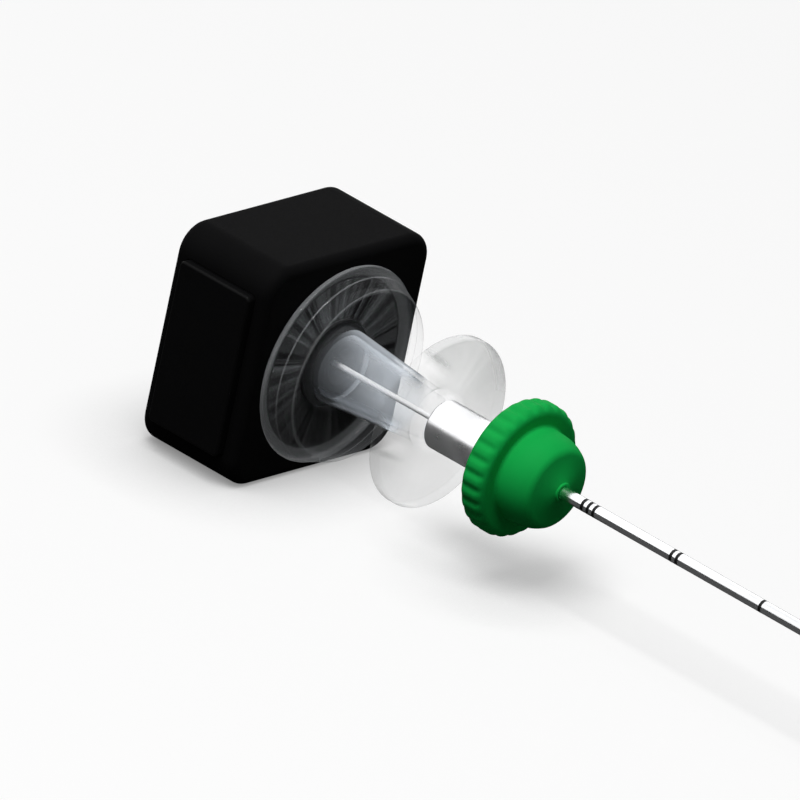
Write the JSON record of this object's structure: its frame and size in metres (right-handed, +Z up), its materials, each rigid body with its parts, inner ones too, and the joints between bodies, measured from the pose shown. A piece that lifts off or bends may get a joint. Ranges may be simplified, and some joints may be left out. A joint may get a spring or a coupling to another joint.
{
  "type": "biopsy needle",
  "caption": "Biopsy needle with a square black stylet handle, a clear spool-shaped hub, a steel barrel, a green knurled depth stop and a long ring-marked cannula.",
  "frame": {"origin": "centre of the flat back face of the square handle, on the needle's axis", "axes": "+X along the needle towards its tip; +Z up, square to the handle's top side; the grip pads are on the -Y and +Y sides"},
  "size_m": [0.0736, 0.0222, 0.0206],
  "materials": {
    "black_plastic": "fine moulded matte",
    "pad_black": "soft matte",
    "black_rubber": "matte",
    "clear_plastic": "clear polished",
    "needle_steel": "ground and polished",
    "polished_steel": "polished",
    "brass": "turned",
    "white_plastic": "satin",
    "green_plastic": "satin moulded"
  },
  "bodies": {
    "cannula_unit": {"hub_flange": "clear_plastic", "hub_body": "clear_plastic", "barrel": "polished_steel", "barrel_bush": "white_plastic", "guide_funnel": "brass", "cannula": "needle_steel"},
    "stylet": {"handle_shell": "black_plastic", "handle_cover": "black_plastic", "grip_pad_left": "pad_black", "grip_pad_right": "pad_black", "seat_washer": "black_rubber", "stylet_anchor": "brass", "anchor_plug": "white_plastic", "stylet_rod": "needle_steel"},
    "stop_slider": {"stop_collet": "white_plastic"},
    "stop_knob_unit": {"stop_knob": "green_plastic", "stop_retainer": "needle_steel"}
  },
  "joints": [
    {"name": "stylet_slide", "type": "slide", "parent": "cannula_unit", "child": "stylet", "axis": [-1, 0, 0], "range_m": [0, 0.063]},
    {"name": "stop_slide", "type": "slide", "parent": "cannula_unit", "child": "stop_slider", "axis": [1, 0, 0], "range_m": [0, 0.027]},
    {"name": "stop_turn", "type": "hinge", "parent": "stop_slider", "child": "stop_knob_unit", "pos_m": [0.03158, 0, 0], "axis": [1, 0, 0], "range_deg": [0, 90]}
  ]
}
